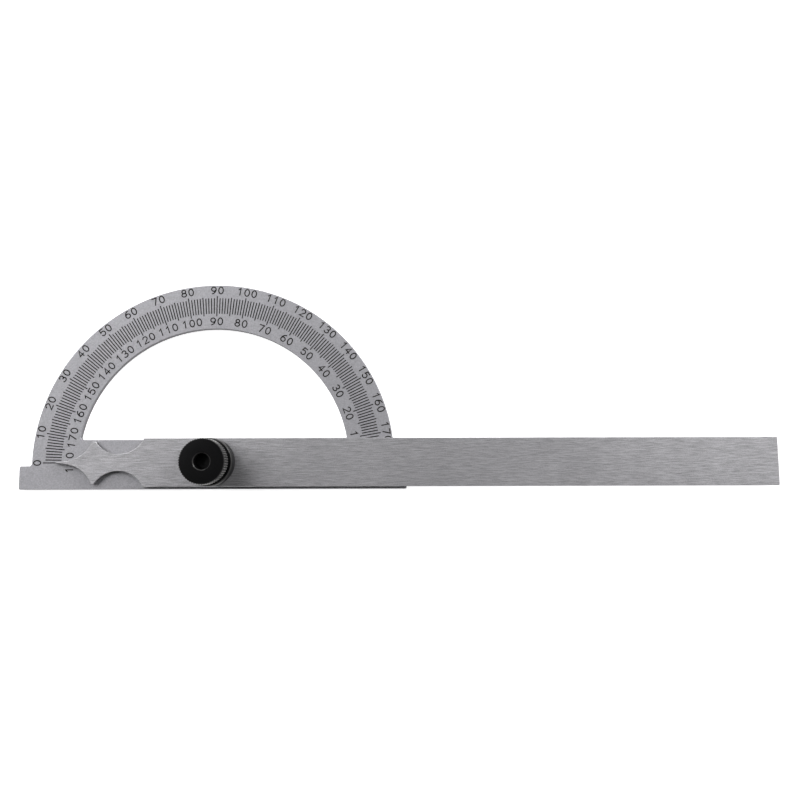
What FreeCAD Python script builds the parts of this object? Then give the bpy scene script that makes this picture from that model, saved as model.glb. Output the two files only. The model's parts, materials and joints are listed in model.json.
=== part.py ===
import FreeCAD, Part
import math
import os

import Sketcher

# Bench protractor: a graduated half circle cut in one with its base bar, and a long
# pointer blade that swings on a riveted stud and is clamped by a knurled nut.
# The tool lies flat. The origin is on the pivot axis at the underside of the plate,
# +X runs along the base towards the long end of the blade, +Y towards the 90 degree
# mark and +Z up towards the nut. Millimetres and degrees.

SIZES = {
    # Head plate
    "plate_thickness": 2.0,
    "arc_outer_radius": 75.0,
    "arc_inner_radius": 56.1,
    "base_length": 160.0,
    "base_below_pivot": 11.0,
    "sill_above_pivot": 9.5,
    "ear_below_pivot": 1.3,
    "ear_root_radius": 1.2,
    "ear_corner_radius": 0.8,
    "window_corner_radius": 1.0,
    "plate_edge_break": 0.25,
    # Blade
    "blade_thickness": 2.0,
    "blade_width": 20.0,
    "blade_length": 298.0,
    "blade_end_radius": 0.5,
    "blade_edge_break": 0.25,
    "pointer_reach": 64.8,
    "pointer_half_angle": 9.0,
    "hollow_radius": 12.5,
    "tip_to_cusp": 15.1,
    "cusp_below_edge": 1.2,
    "cusp_radius": 0.4,
    "tip_to_notch": 26.2,
    "notch_radius": 11.4,
    "notch_depth": 6.5,
    # Pivot stud
    "pivot_diameter": 8.0,
    "stud_head_diameter": 11.0,
    "stud_seat_gap": 0.01,
    "shoulder_below_blade": 0.1,
    "stud_end_below_nut": 5.0,
    "stud_end_chamfer": 0.6,
    # Thread shared by the stud and the nut
    "thread_diameter": 7.0,
    "thread_pitch": 0.75,
    "thread_gap": 0.05,
    # Clamp washer
    "washer_diameter": 16.0,
    "washer_thickness": 0.8,
    "washer_edge_chamfer": 0.15,
    "washer_bore_gap": 0.2,
    # Knurled nut
    "nut_diameter": 18.4,
    "nut_height": 16.0,
    "nut_collar_diameter": 19.5,
    "nut_collar_height": 6.3,
    "nut_groove_height": 3.6,
    "nut_neck_diameter": 14.0,
    "nut_edge_chamfer": 0.45,
    "nut_bore_chamfer": 0.5,
    "knurl_pitch": 1.0,
    "knurl_depth": 0.4,
    # Running clearances between the pieces
    "blade_gap": 0.05,
    "pivot_gap": 0.05,
    "washer_gap": 0.02,
    "nut_gap": 0.02,
}

# Heights and radii that several pieces share, all above the underside of the plate
BLADE_BOTTOM = "(Sizes.plate_thickness + Sizes.blade_gap)"
BLADE_TOP = f"({BLADE_BOTTOM} + Sizes.blade_thickness)"
WASHER_BOTTOM = f"({BLADE_TOP} + Sizes.washer_gap)"
NUT_BOTTOM = f"({WASHER_BOTTOM} + Sizes.washer_thickness + Sizes.nut_gap)"
NUT_TOP = f"({NUT_BOTTOM} + Sizes.nut_height)"
PIVOT_RADIUS = "(Sizes.pivot_diameter / 2)"
STUD_HEAD_RADIUS = "(Sizes.stud_head_diameter / 2)"
BLADE_EDGE = "(Sizes.blade_width / 2)"
CUSP_EDGE = f"({BLADE_EDGE} - Sizes.cusp_below_edge)"
NOTCH_REACH = "(Sizes.pointer_reach - Sizes.tip_to_notch)"
NUT_RADIUS = "(Sizes.nut_diameter / 2)"
COLLAR_RADIUS = "(Sizes.nut_collar_diameter / 2)"

# An internal thread's crests stand this many pitches inside its outer diameter
CREST_PITCHES = 1.0825
BORE_RADIUS = f"((Sizes.thread_diameter - {CREST_PITCHES} * Sizes.thread_pitch) / 2)"
ROD_RADIUS = f"({BORE_RADIUS} - Sizes.thread_gap)"

# How far a cutting outline reaches past the metal it cuts
CLEAR = 2.0
SAME_PLACE = 0.001


def make_sheet(document):
    """Write the driving dimensions into a sheet, one named cell each."""
    sheet = document.addObject("Spreadsheet::Sheet", "Sizes")
    for row, (alias, value) in enumerate(SIZES.items(), start=1):
        sheet.set(f"A{row}", alias.replace("_", " "))
        sheet.set(f"B{row}", str(value))
        sheet.setAlias(f"B{row}", alias)
    document.recompute()
    return sheet


def new_body(document, label, height="0"):
    """Start a piece that stands at a height above the underside of the plate."""
    body = document.addObject("PartDesign::Body", label)
    body.Label = label
    body.setExpression("Placement.Base.z", height)
    return body


def origin_plane(body, role):
    return next(plane for plane in body.Origin.OriginFeatures if plane.Role == role)


def new_sketch(body, name, role, height="0"):
    """Put an empty sketch on one of the body's own planes, raised by a height."""
    sketch = body.newObject("Sketcher::SketchObject", f"{body.Label}_{name}")
    sketch.AttachmentSupport = (origin_plane(body, role), [""])
    sketch.MapMode = "FlatFace"
    sketch.setExpression("AttachmentOffset.Base.z", height)
    return sketch


def hold(sketch, expression, kind, *where):
    """Add one driven constraint and bind it to the sheet."""
    value = sketch.evalExpression(expression)
    index = sketch.addConstraint(Sketcher.Constraint(kind, *where, value))
    sketch.setExpression(f"Constraints[{index}]", expression)


def hold_point(sketch, line, end, across, along):
    """Pin a line's end to the sketch origin by two bound distances."""
    for kind, axis, expression in (("DistanceX", -2, across), ("DistanceY", -1, along)):
        value = sketch.evalExpression(expression)
        if abs(value) < SAME_PLACE:
            sketch.addConstraint(Sketcher.Constraint("PointOnObject", line, end, axis))
        elif value > 0:
            hold(sketch, expression, kind, -1, 1, line, end)
        else:
            hold(sketch, f"-({expression})", kind, line, end, -1, 1)


def hold_slope(sketch, line, degrees):
    """Hold a line's direction, in degrees from the sketch's first axis."""
    value = math.radians(sketch.evalExpression(degrees))
    index = sketch.addConstraint(Sketcher.Constraint("Angle", line, value))
    sketch.setExpression(f"Constraints[{index}]", f"({degrees}) * 1 deg")


def close_loop(sketch, count, smooth=()):
    """Join each edge of a loop to the next, end to start, some of them smoothly."""
    for edge in range(count):
        kind = "Tangent" if edge in smooth else "Coincident"
        sketch.addConstraint(Sketcher.Constraint(kind, edge, 2, (edge + 1) % count, 1))


def draw_polygon(sketch, corners):
    """Draw a closed straight-sided outline whose corners are pairs of expressions."""
    points = []
    for across, along in corners:
        place = (sketch.evalExpression(across), sketch.evalExpression(along), 0)
        points.append(FreeCAD.Vector(*place))
    for start, end in zip(points, points[1:] + points[:1]):
        sketch.addGeometry(Part.LineSegment(start, end), False)
    close_loop(sketch, len(points))
    for line, (across, along) in enumerate(corners):
        hold_point(sketch, line, 1, across, along)


def draw_circle(sketch, radius, across="0", along="0"):
    """Draw a circle whose radius and centre are expressions."""
    centre = FreeCAD.Vector(sketch.evalExpression(across), sketch.evalExpression(along), 0)
    circle = Part.Circle(centre, FreeCAD.Vector(0, 0, 1), sketch.evalExpression(radius))
    sketch.addGeometry(circle, False)
    hold(sketch, radius, "Radius", 0)
    hold_point(sketch, 0, 3, across, along)


def draw_half_moon(sketch, radius, chord):
    """Draw a disc about the pivot that is cut off below a level chord."""
    size = sketch.evalExpression(radius)
    level = sketch.evalExpression(chord)
    start = math.asin(level / size)
    circle = Part.Circle(FreeCAD.Vector(0, 0, 0), FreeCAD.Vector(0, 0, 1), size)
    half_chord = size * math.cos(start)
    left = FreeCAD.Vector(-half_chord, level, 0)
    right = FreeCAD.Vector(half_chord, level, 0)
    sketch.addGeometry(Part.ArcOfCircle(circle, start, math.pi - start), False)
    sketch.addGeometry(Part.LineSegment(left, right), False)
    close_loop(sketch, 2)
    sketch.addConstraint(Sketcher.Constraint("Coincident", 0, 3, -1, 1))
    sketch.addConstraint(Sketcher.Constraint("Horizontal", 1))
    hold(sketch, radius, "Radius", 0)
    if level > 0:
        hold(sketch, chord, "DistanceY", -1, 1, 1, 1)
    else:
        hold(sketch, f"-({chord})", "DistanceY", 1, 1, -1, 1)


def pad(body, sketch, name, length):
    feature = body.newObject("PartDesign::Pad", f"{body.Label}_{name}")
    feature.Profile = sketch
    feature.setExpression("Length", length)
    return finish(body, feature)


def cut_through(body, sketch, name):
    """Cut a sketch that lies on the underside up through the whole sheet."""
    feature = body.newObject("PartDesign::Pocket", f"{body.Label}_{name}")
    feature.Profile = sketch
    feature.Type = "ThroughAll"
    feature.Reversed = True
    return finish(body, feature, removes=True)


def turn(body, sketch, name, kind):
    """Turn a profile about the pivot axis, to add metal or to cut it away."""
    feature = body.newObject(kind, f"{body.Label}_{name}")
    feature.Profile = sketch
    feature.ReferenceAxis = (sketch, ["V_Axis"])
    feature.Angle = 360.0
    return finish(body, feature, removes=kind == "PartDesign::Groove")


def dress(body, kind, name, size_name, size, edges):
    """Round or bevel the edges of the piece's last feature that a test picks."""
    base = body.Tip
    picked = []
    for number, edge in enumerate(base.Shape.Edges, start=1):
        if edges(edge):
            picked.append(f"Edge{number}")
    if not picked:
        raise RuntimeError(f"{body.Label}: no edges for {name}")
    feature = body.newObject(kind, f"{body.Label}_{name}")
    feature.Base = (base, picked)
    feature.setExpression(size_name, size)
    return finish(body, feature)


def finish(body, feature, removes=False):
    """Recompute a new feature, make it the tip and test that it did its work."""
    before = body.Shape.Volume if body.Tip and not body.Shape.isNull() else 0.0
    body.Tip = feature
    body.Document.recompute()
    if "Invalid" in feature.State or "Error" in feature.State:
        raise RuntimeError(f"{feature.Name}: {feature.State}")
    if removes and body.Shape.Volume >= before:
        raise RuntimeError(f"{feature.Name} cuts nothing")
    return feature


def upright_at(places):
    """Pick the edges that stand square to the sheet at the given places."""
    def test(edge):
        if len(edge.Vertexes) != 2:
            return False
        foot, head = (vertex.Point for vertex in edge.Vertexes)
        if math.hypot(foot.x - head.x, foot.y - head.y) > SAME_PLACE:
            return False
        return any(math.hypot(foot.x - x, foot.y - y) < SAME_PLACE * 20 for x, y in places)
    return test


def rim(thickness, pivot_clear):
    """Pick the outline edges of both faces of a sheet, but none round the pivot."""
    def test(edge):
        box = edge.BoundBox
        flat = box.ZLength < SAME_PLACE
        level = min(abs(box.ZMin), abs(box.ZMin - thickness)) < SAME_PLACE
        far = max(abs(box.XMin), abs(box.XMax), abs(box.YMin), abs(box.YMax)) > pivot_clear
        return flat and level and far
    return test


def make_head_plate(document):
    """Half circle and base bar in one sheet, with the seat of the riveted stud."""
    body = new_body(document, "head_plate")
    half_base = "(Sizes.base_length / 2)"
    bar = new_sketch(body, "bar", "XY_Plane")
    draw_polygon(bar, [
        (f"-{half_base}", "-Sizes.base_below_pivot"),
        (half_base, "-Sizes.base_below_pivot"),
        (half_base, "-Sizes.ear_below_pivot"),
        (f"-{half_base}", "-Sizes.ear_below_pivot"),
    ])
    pad(body, bar, "bar_pad", "Sizes.plate_thickness")

    moon = new_sketch(body, "arc", "XY_Plane")
    draw_half_moon(moon, "Sizes.arc_outer_radius", "-Sizes.ear_below_pivot")
    pad(body, moon, "arc_pad", "Sizes.plate_thickness")

    window = new_sketch(body, "window", "XY_Plane")
    draw_half_moon(window, "Sizes.arc_inner_radius", "Sizes.sill_above_pivot")
    cut_through(body, window, "window_cut")

    seat = new_sketch(body, "stud_seat", "XZ_Plane")
    seat_radius = f"({PIVOT_RADIUS} + Sizes.stud_seat_gap)"
    mouth_radius = f"({STUD_HEAD_RADIUS} + Sizes.stud_seat_gap)"
    draw_polygon(seat, [
        ("0", "0"),
        (mouth_radius, "0"),
        (seat_radius, f"{STUD_HEAD_RADIUS} - {PIVOT_RADIUS}"),
        (seat_radius, "Sizes.plate_thickness"),
        ("0", "Sizes.plate_thickness"),
    ])
    turn(body, seat, "stud_seat_cut", "PartDesign::Groove")

    base_end = SIZES["base_length"] / 2
    ear_top = -SIZES["ear_below_pivot"]
    base_foot = -SIZES["base_below_pivot"]
    sill = SIZES["sill_above_pivot"]
    ear_root = math.sqrt(SIZES["arc_outer_radius"] ** 2 - ear_top ** 2)
    sill_end = math.sqrt(SIZES["arc_inner_radius"] ** 2 - sill ** 2)
    roots = upright_at([(-ear_root, ear_top), (ear_root, ear_top)])
    corners = upright_at([(side * base_end, y) for side in (-1, 1) for y in (ear_top, base_foot)])
    sills = upright_at([(-sill_end, sill), (sill_end, sill)])
    rims = rim(SIZES["plate_thickness"], SIZES["stud_head_diameter"])
    dress(body, "PartDesign::Fillet", "ear_roots", "Radius", "Sizes.ear_root_radius", roots)
    dress(body, "PartDesign::Fillet", "ear_corners", "Radius", "Sizes.ear_corner_radius", corners)
    dress(body, "PartDesign::Fillet", "sill_corners", "Radius", "Sizes.window_corner_radius", sills)
    dress(body, "PartDesign::Chamfer", "edge_break", "Size", "Sizes.plate_edge_break", rims)
    return body


def draw_pointer_flank(sketch):
    """Draw the waste beside the pointer: a straight flank, a hollow and the cusp's end."""
    tip_x = -SIZES["pointer_reach"]
    hollow = SIZES["hollow_radius"]
    slope = math.radians(SIZES["pointer_half_angle"])
    cusp_y = SIZES["cusp_below_edge"] - SIZES["blade_width"] / 2
    foot_y = -SIZES["blade_width"] / 2 - CLEAR
    tip = FreeCAD.Vector(tip_x, 0, 0)
    cusp = FreeCAD.Vector(tip_x + SIZES["tip_to_cusp"], cusp_y, 0)
    inside_notch = FreeCAD.Vector(tip_x + SIZES["tip_to_notch"], cusp_y, 0)
    inner_foot = FreeCAD.Vector(inside_notch.x, foot_y, 0)
    outer_foot = FreeCAD.Vector(tip_x - CLEAR, foot_y, 0)
    level = FreeCAD.Vector(tip_x - CLEAR, 0, 0)

    # The hollow touches the flank and ends at the cusp: its centre is one hollow
    # radius from both, which leaves a quadratic in the length of the flank.
    along = FreeCAD.Vector(math.cos(slope), -math.sin(slope), 0)
    aside = FreeCAD.Vector(-math.sin(slope), -math.cos(slope), 0)
    offset = tip + aside * hollow - cusp
    reach = offset.dot(along)
    flank = -reach - math.sqrt(reach ** 2 - offset.dot(offset) + hollow ** 2)
    touch = tip + along * flank
    centre = touch + aside * hollow
    start = math.atan2(cusp.y - centre.y, cusp.x - centre.x)
    end = math.atan2(touch.y - centre.y, touch.x - centre.x)
    circle = Part.Circle(centre, FreeCAD.Vector(0, 0, 1), hollow)

    sketch.addGeometry(Part.LineSegment(tip, level), False)
    sketch.addGeometry(Part.LineSegment(level, outer_foot), False)
    sketch.addGeometry(Part.LineSegment(outer_foot, inner_foot), False)
    sketch.addGeometry(Part.LineSegment(inner_foot, inside_notch), False)
    sketch.addGeometry(Part.LineSegment(inside_notch, cusp), False)
    sketch.addGeometry(Part.ArcOfCircle(circle, start, end), False)
    sketch.addGeometry(Part.LineSegment(touch, tip), False)
    close_loop(sketch, 7, smooth=(5,))
    for line, kind in ((0, "Horizontal"), (1, "Vertical"), (2, "Horizontal"), (3, "Vertical")):
        sketch.addConstraint(Sketcher.Constraint(kind, line))
    tip_to_left = f"-Sizes.pointer_reach - {CLEAR}"
    cusp_across = "Sizes.tip_to_cusp - Sizes.pointer_reach"
    hold_point(sketch, 0, 1, "-Sizes.pointer_reach", "0")
    hold_point(sketch, 1, 2, tip_to_left, f"-{BLADE_EDGE} - {CLEAR}")
    hold_point(sketch, 4, 1, f"-{NOTCH_REACH}", f"-{CUSP_EDGE}")
    hold_point(sketch, 5, 1, cusp_across, f"-{CUSP_EDGE}")
    hold(sketch, "Sizes.hollow_radius", "Radius", 5)
    hold_slope(sketch, 6, "180 - Sizes.pointer_half_angle")


def make_blade(document):
    """Long blade with the pointer, its hollows and the two thumb notches."""
    body = new_body(document, "blade", BLADE_BOTTOM)
    far_end = "(Sizes.blade_length - Sizes.pointer_reach)"
    sheet = new_sketch(body, "sheet", "XY_Plane")
    draw_polygon(sheet, [
        ("-Sizes.pointer_reach", f"-{BLADE_EDGE}"),
        (far_end, f"-{BLADE_EDGE}"),
        (far_end, BLADE_EDGE),
        ("-Sizes.pointer_reach", BLADE_EDGE),
    ])
    pad(body, sheet, "sheet_pad", "Sizes.blade_thickness")

    flank = new_sketch(body, "flank", "XY_Plane")
    draw_pointer_flank(flank)
    flank_cut = cut_through(body, flank, "flank_cut")

    notch = new_sketch(body, "notch", "XY_Plane")
    notch_centre = f"-{BLADE_EDGE} + Sizes.notch_depth - Sizes.notch_radius"
    draw_circle(notch, "Sizes.notch_radius", f"-{NOTCH_REACH}", notch_centre)
    notch_cut = cut_through(body, notch, "notch_cut")

    mirror = body.newObject("PartDesign::Mirrored", "blade_other_side")
    mirror.Originals = [flank_cut, notch_cut]
    mirror.MirrorPlane = (origin_plane(body, "XZ_Plane"), [""])
    finish(body, mirror, removes=True)

    pivot = new_sketch(body, "pivot_hole", "XY_Plane")
    draw_circle(pivot, f"{PIVOT_RADIUS} + Sizes.pivot_gap")
    cut_through(body, pivot, "pivot_hole_cut")

    half_width = SIZES["blade_width"] / 2
    cusp_end = half_width - SIZES["cusp_below_edge"]
    tip_x = -SIZES["pointer_reach"]
    rise = cusp_end - half_width + SIZES["notch_depth"] - SIZES["notch_radius"]
    half_mouth = math.sqrt(SIZES["notch_radius"] ** 2 - rise ** 2)
    cusp_sides = (tip_x + SIZES["tip_to_cusp"], tip_x + SIZES["tip_to_notch"] - half_mouth)
    cusp_places = [(x, side * cusp_end) for x in cusp_sides for side in (-1, 1)]
    end_x = SIZES["blade_length"] - SIZES["pointer_reach"]
    end_places = [(end_x, half_width), (end_x, -half_width)]
    rims = rim(SIZES["blade_thickness"], SIZES["pivot_diameter"])
    cusps = upright_at(cusp_places)
    ends = upright_at(end_places)
    dress(body, "PartDesign::Fillet", "cusps", "Radius", "Sizes.cusp_radius", cusps)
    dress(body, "PartDesign::Fillet", "end_corners", "Radius", "Sizes.blade_end_radius", ends)
    dress(body, "PartDesign::Chamfer", "edge_break", "Size", "Sizes.blade_edge_break", rims)
    return body


def make_pivot_stud(document):
    """Stud riveted flush in the plate, a shoulder for the blade and a threaded end."""
    body = new_body(document, "pivot_stud")
    profile = new_sketch(body, "profile", "XZ_Plane")
    shoulder_top = f"{BLADE_TOP} - Sizes.shoulder_below_blade"
    end = f"{NUT_TOP} - Sizes.stud_end_below_nut"
    draw_polygon(profile, [
        ("0", "0"),
        (STUD_HEAD_RADIUS, "0"),
        (PIVOT_RADIUS, f"{STUD_HEAD_RADIUS} - {PIVOT_RADIUS}"),
        (PIVOT_RADIUS, shoulder_top),
        (ROD_RADIUS, shoulder_top),
        (ROD_RADIUS, f"{end} - Sizes.stud_end_chamfer"),
        (f"{ROD_RADIUS} - Sizes.stud_end_chamfer", end),
        ("0", end),
    ])
    turn(body, profile, "turned", "PartDesign::Revolution")
    return body


def make_clamp_washer(document):
    """Thin plain washer between the blade and the nut."""
    body = new_body(document, "clamp_washer", WASHER_BOTTOM)
    profile = new_sketch(body, "profile", "XZ_Plane")
    bore = "Sizes.thread_diameter / 2 + Sizes.washer_bore_gap"
    rim_radius = "Sizes.washer_diameter / 2"
    draw_polygon(profile, [
        (bore, "0"),
        (rim_radius, "0"),
        (rim_radius, "Sizes.washer_thickness - Sizes.washer_edge_chamfer"),
        (f"{rim_radius} - Sizes.washer_edge_chamfer", "Sizes.washer_thickness"),
        (bore, "Sizes.washer_thickness"),
    ])
    turn(body, profile, "turned", "PartDesign::Revolution")
    return body


def make_knurled_nut(document):
    """Turned nut: plain collar below, a groove, and a straight-knurled head above."""
    body = new_body(document, "knurled_nut", NUT_BOTTOM)
    profile = new_sketch(body, "profile", "XZ_Plane")
    neck = "Sizes.nut_neck_diameter / 2"
    bevelled = f"{NUT_RADIUS} - Sizes.nut_edge_chamfer"
    collar_bevelled = f"{COLLAR_RADIUS} - Sizes.nut_edge_chamfer"
    mouth = f"{BORE_RADIUS} + Sizes.nut_bore_chamfer"
    groove_top = "(Sizes.nut_collar_height + Sizes.nut_groove_height)"
    draw_polygon(profile, [
        (mouth, "0"),
        (collar_bevelled, "0"),
        (COLLAR_RADIUS, "Sizes.nut_edge_chamfer"),
        (COLLAR_RADIUS, "Sizes.nut_collar_height - Sizes.nut_edge_chamfer"),
        (collar_bevelled, "Sizes.nut_collar_height"),
        (neck, "Sizes.nut_collar_height"),
        (neck, groove_top),
        (bevelled, groove_top),
        (NUT_RADIUS, f"{groove_top} + Sizes.nut_edge_chamfer"),
        (NUT_RADIUS, "Sizes.nut_height - Sizes.nut_edge_chamfer"),
        (bevelled, "Sizes.nut_height"),
        (mouth, "Sizes.nut_height"),
        (BORE_RADIUS, "Sizes.nut_height - Sizes.nut_bore_chamfer"),
        (BORE_RADIUS, "Sizes.nut_bore_chamfer"),
    ])
    turn(body, profile, "turned", "PartDesign::Revolution")

    # One knurl furrow has square flanks, so it is as deep as half its width
    furrow = new_sketch(body, "furrow", "XY_Plane", "Sizes.nut_height")
    reach = f"{NUT_RADIUS} + Sizes.knurl_depth"
    draw_polygon(furrow, [
        (f"{NUT_RADIUS} - Sizes.knurl_depth", "0"),
        (reach, "-2 * Sizes.knurl_depth"),
        (reach, "2 * Sizes.knurl_depth"),
    ])
    cut = body.newObject("PartDesign::Pocket", "knurled_nut_furrow_cut")
    cut.Profile = furrow
    head_height = "Sizes.nut_height - Sizes.nut_collar_height - Sizes.nut_groove_height / 2"
    cut.setExpression("Length", head_height)
    finish(body, cut, removes=True)

    knurl = body.newObject("PartDesign::PolarPattern", "knurled_nut_knurl")
    knurl.Originals = [cut]
    knurl.Axis = (furrow, ["N_Axis"])
    knurl.Angle = 360.0
    knurl.setExpression("Occurrences", "floor(pi * Sizes.nut_diameter / Sizes.knurl_pitch)")
    finish(body, knurl, removes=True)
    return body


def check_pieces(document, pieces):
    """Stop before anything is written if an object failed or a piece isn't one solid."""
    for item in document.Objects:
        if "Invalid" in item.State or "Error" in item.State:
            raise RuntimeError(f"{item.Name}: {item.State}")
    for piece in pieces:
        shape = piece.Shape
        if shape.isNull() or not shape.isValid() or len(shape.Solids) != 1:
            raise RuntimeError(f"{piece.Label} is not one valid solid")


def main():
    document = FreeCAD.newDocument("protractor")
    make_sheet(document)
    pieces = [
        make_head_plate(document),
        make_blade(document),
        make_pivot_stud(document),
        make_clamp_washer(document),
        make_knurled_nut(document),
    ]
    document.recompute()
    check_pieces(document, pieces)
    os.makedirs("parts", exist_ok=True)
    for piece in pieces:
        piece.Shape.exportStep(os.path.join("parts", f"{piece.Label}.step"))
        box = piece.Shape.BoundBox
        volume = round(piece.Shape.Volume, 1)
        print(piece.Label, volume, "mm3", round(box.ZMin, 3), "to", round(box.ZMax, 3))


main()
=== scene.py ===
"""Looks of a bench protractor: satin head plate with its etched scale, brushed blade, black nut.

All lengths are metres in the part's own frame: the pivot axis is the Z axis, the plate
lies on the bench at height 0 and the blade's long end points along +X.
"""

import json
import logging
import math
from dataclasses import dataclass, field
from enum import Enum
from typing import Any

import bmesh
import bpy
import numpy as np
from bpy.types import Material, Node, NodeSocket, NodeTree, Object
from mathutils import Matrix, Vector

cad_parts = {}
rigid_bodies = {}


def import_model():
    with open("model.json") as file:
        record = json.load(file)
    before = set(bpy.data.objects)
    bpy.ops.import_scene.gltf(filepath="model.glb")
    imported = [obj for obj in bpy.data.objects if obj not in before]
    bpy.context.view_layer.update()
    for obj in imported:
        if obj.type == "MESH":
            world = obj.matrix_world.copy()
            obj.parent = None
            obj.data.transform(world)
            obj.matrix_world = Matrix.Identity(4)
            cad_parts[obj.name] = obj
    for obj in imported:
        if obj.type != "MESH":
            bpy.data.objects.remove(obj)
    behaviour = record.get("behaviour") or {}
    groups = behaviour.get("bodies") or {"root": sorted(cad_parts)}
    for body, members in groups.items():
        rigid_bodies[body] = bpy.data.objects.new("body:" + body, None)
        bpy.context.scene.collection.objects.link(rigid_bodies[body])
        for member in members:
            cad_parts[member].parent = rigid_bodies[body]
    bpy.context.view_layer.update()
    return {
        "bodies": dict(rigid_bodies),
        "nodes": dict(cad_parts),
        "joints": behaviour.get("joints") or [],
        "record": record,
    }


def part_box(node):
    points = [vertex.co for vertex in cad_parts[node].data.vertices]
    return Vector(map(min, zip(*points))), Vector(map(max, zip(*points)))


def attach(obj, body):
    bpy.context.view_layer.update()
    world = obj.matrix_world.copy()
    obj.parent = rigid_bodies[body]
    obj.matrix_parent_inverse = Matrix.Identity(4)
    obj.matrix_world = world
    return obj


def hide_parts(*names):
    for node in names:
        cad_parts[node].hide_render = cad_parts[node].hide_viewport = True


MM = 0.001
LOG = logging.getLogger("protractor")

Colour = tuple[float, float, float]
Triple = tuple[float, float, float]
Point = tuple[float, float]
Span = tuple[float, float]
# A ramp's first two numbers are read from, and its last two are what they become.
Ramp = tuple[float, float, float, float]

MARK_INPUTS = {"Lines per Metre": 2600.0, "Line Length": 0.02}
CREASE_DEGREES = 32.0
ARC_STEP_DEGREES = 15.0
HALF_TURN = 180


class Row(Enum):
    """Which way a row of numbers counts round the half circle."""

    OUTER = "rises towards the right"
    INNER = "rises towards the left"


class Lay(Enum):
    """How the fine marks of a metal finish run."""

    ALONG = "along the blade"
    ROUND = "round the pivot axis"
    EVEN = "every way alike"


# Node trees


class Sheet:
    """A node tree with short ways to add, set and join its nodes."""

    def __init__(self, tree: NodeTree) -> None:
        """Keep the tree that the nodes go into."""
        self.tree = tree

    def add(self, kind: str, **settings: Any) -> Node:
        """Add a node.

        Args:
            kind: the node's type, such as ShaderNodeMath.
            settings: properties of the node itself.

        Returns:
            The new node.
        """
        node = self.tree.nodes.new(kind)
        for name, value in settings.items():
            setattr(node, name, value)
        return node

    def feed(self, socket: NodeSocket, value: Any) -> None:
        """Join a socket to another node's output, or set it to a plain value."""
        if isinstance(value, NodeSocket):
            self.tree.links.new(value, socket)
        else:
            socket.default_value = value

    def maths(self, operation: str, *values: Any, clamp: bool = False) -> NodeSocket:
        """Add a Math node on up to three values and return its result."""
        node = self.add("ShaderNodeMath", operation=operation, use_clamp=clamp)
        for socket, value in zip(node.inputs, values):
            self.feed(socket, value)
        return node.outputs[0]

    def times(self, first: Any, second: Any) -> NodeSocket:
        """Multiply two values and return the result."""
        return self.maths("MULTIPLY", first, second)

    def spread(
        self, value: Any, low: float, high: float, to_low: float = 0.0, to_high: float = 1.0
    ) -> Any:
        """Map a value from one span to another, held within the second, and return it."""
        node = self.add("ShaderNodeMapRange", clamp=True)
        for socket, number in zip(node.inputs, (value, low, high, to_low, to_high)):
            self.feed(socket, number)
        return node.outputs[0]

    def blend(self, share: Any, first: Any, second: Any) -> NodeSocket:
        """Mix two colours by a share and return the result."""
        node = self.add("ShaderNodeMix", data_type="RGBA")
        self.feed(node.inputs["Factor"], share)
        self.feed(node.inputs["A"], with_alpha(first))
        self.feed(node.inputs["B"], with_alpha(second))
        return node.outputs["Result"]

    def noise(self, vector: Any, scale: Any, detail: float, roughness: float = 0.5) -> Any:
        """Add a noise pattern on a vector and return its value."""
        node = self.add("ShaderNodeTexNoise")
        self.feed(node.inputs["Vector"], vector)
        self.feed(node.inputs["Scale"], scale)
        node.inputs["Detail"].default_value = detail
        node.inputs["Roughness"].default_value = roughness
        return node.outputs[0]

    def place(self) -> NodeSocket:
        """Return the shaded point's place on its own object."""
        return self.add("ShaderNodeTexCoord").outputs["Object"]

    def parts(self, vector: Any) -> list[NodeSocket]:
        """Split a vector and return its three numbers."""
        node = self.add("ShaderNodeSeparateXYZ")
        self.feed(node.inputs[0], vector)
        return list(node.outputs)

    def joined(self, *numbers: Any) -> NodeSocket:
        """Join three numbers into a vector and return it."""
        node = self.add("ShaderNodeCombineXYZ")
        for socket, number in zip(node.inputs, numbers):
            self.feed(socket, number)
        return node.outputs[0]

    def radius(self, x: Any, y: Any) -> NodeSocket:
        """Return how far a point lies from the Z axis."""
        squares = [self.times(number, number) for number in (x, y)]
        return self.maths("SQRT", self.maths("ADD", *squares))

    def group(self, tree: NodeTree, values: dict[str, float]) -> Any:
        """Place a node group with its own values, by input name, and return its outputs."""
        node = self.add("ShaderNodeGroup", node_tree=tree)
        for label, value in values.items():
            node.inputs[label].default_value = value
        return node.outputs


def with_alpha(colour: Any) -> Any:
    """Give a plain colour its fourth number; pass anything else on as it is."""
    return (*colour, 1.0) if isinstance(colour, tuple) and len(colour) == 3 else colour


def new_sheet(
    kind: str, name: str, inputs: dict[str, tuple[str, Any]], outputs: dict[str, str]
) -> tuple[Sheet, Any, Any]:
    """Start a node tree with named sockets.

    Args:
        kind: the tree's type, such as ShaderNodeTree.
        name: the tree's name.
        inputs: each input's name, with its kind and its first value or None.
        outputs: each output's name, with its kind.

    Returns:
        The tree's sheet, the values given to it and the sockets of what it makes.
    """
    tree = bpy.data.node_groups.new(name, kind)
    for label, (sort, value) in inputs.items():
        socket = tree.interface.new_socket(label, in_out="INPUT", socket_type=f"NodeSocket{sort}")
        if value is not None:
            socket.default_value = value
    for label, sort in outputs.items():
        tree.interface.new_socket(label, in_out="OUTPUT", socket_type=f"NodeSocket{sort}")
    sheet = Sheet(tree)
    return sheet, sheet.add("NodeGroupInput").outputs, sheet.add("NodeGroupOutput").inputs


def new_group(name: str, inputs: dict[str, float], *outputs: str) -> tuple[Sheet, Any, Any]:
    """Start a shader node group with named numbers in and out."""
    numbers = {label: ("Float", value) for label, value in inputs.items()}
    return new_sheet("ShaderNodeTree", name, numbers, dict.fromkeys(outputs, "Float"))


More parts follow.
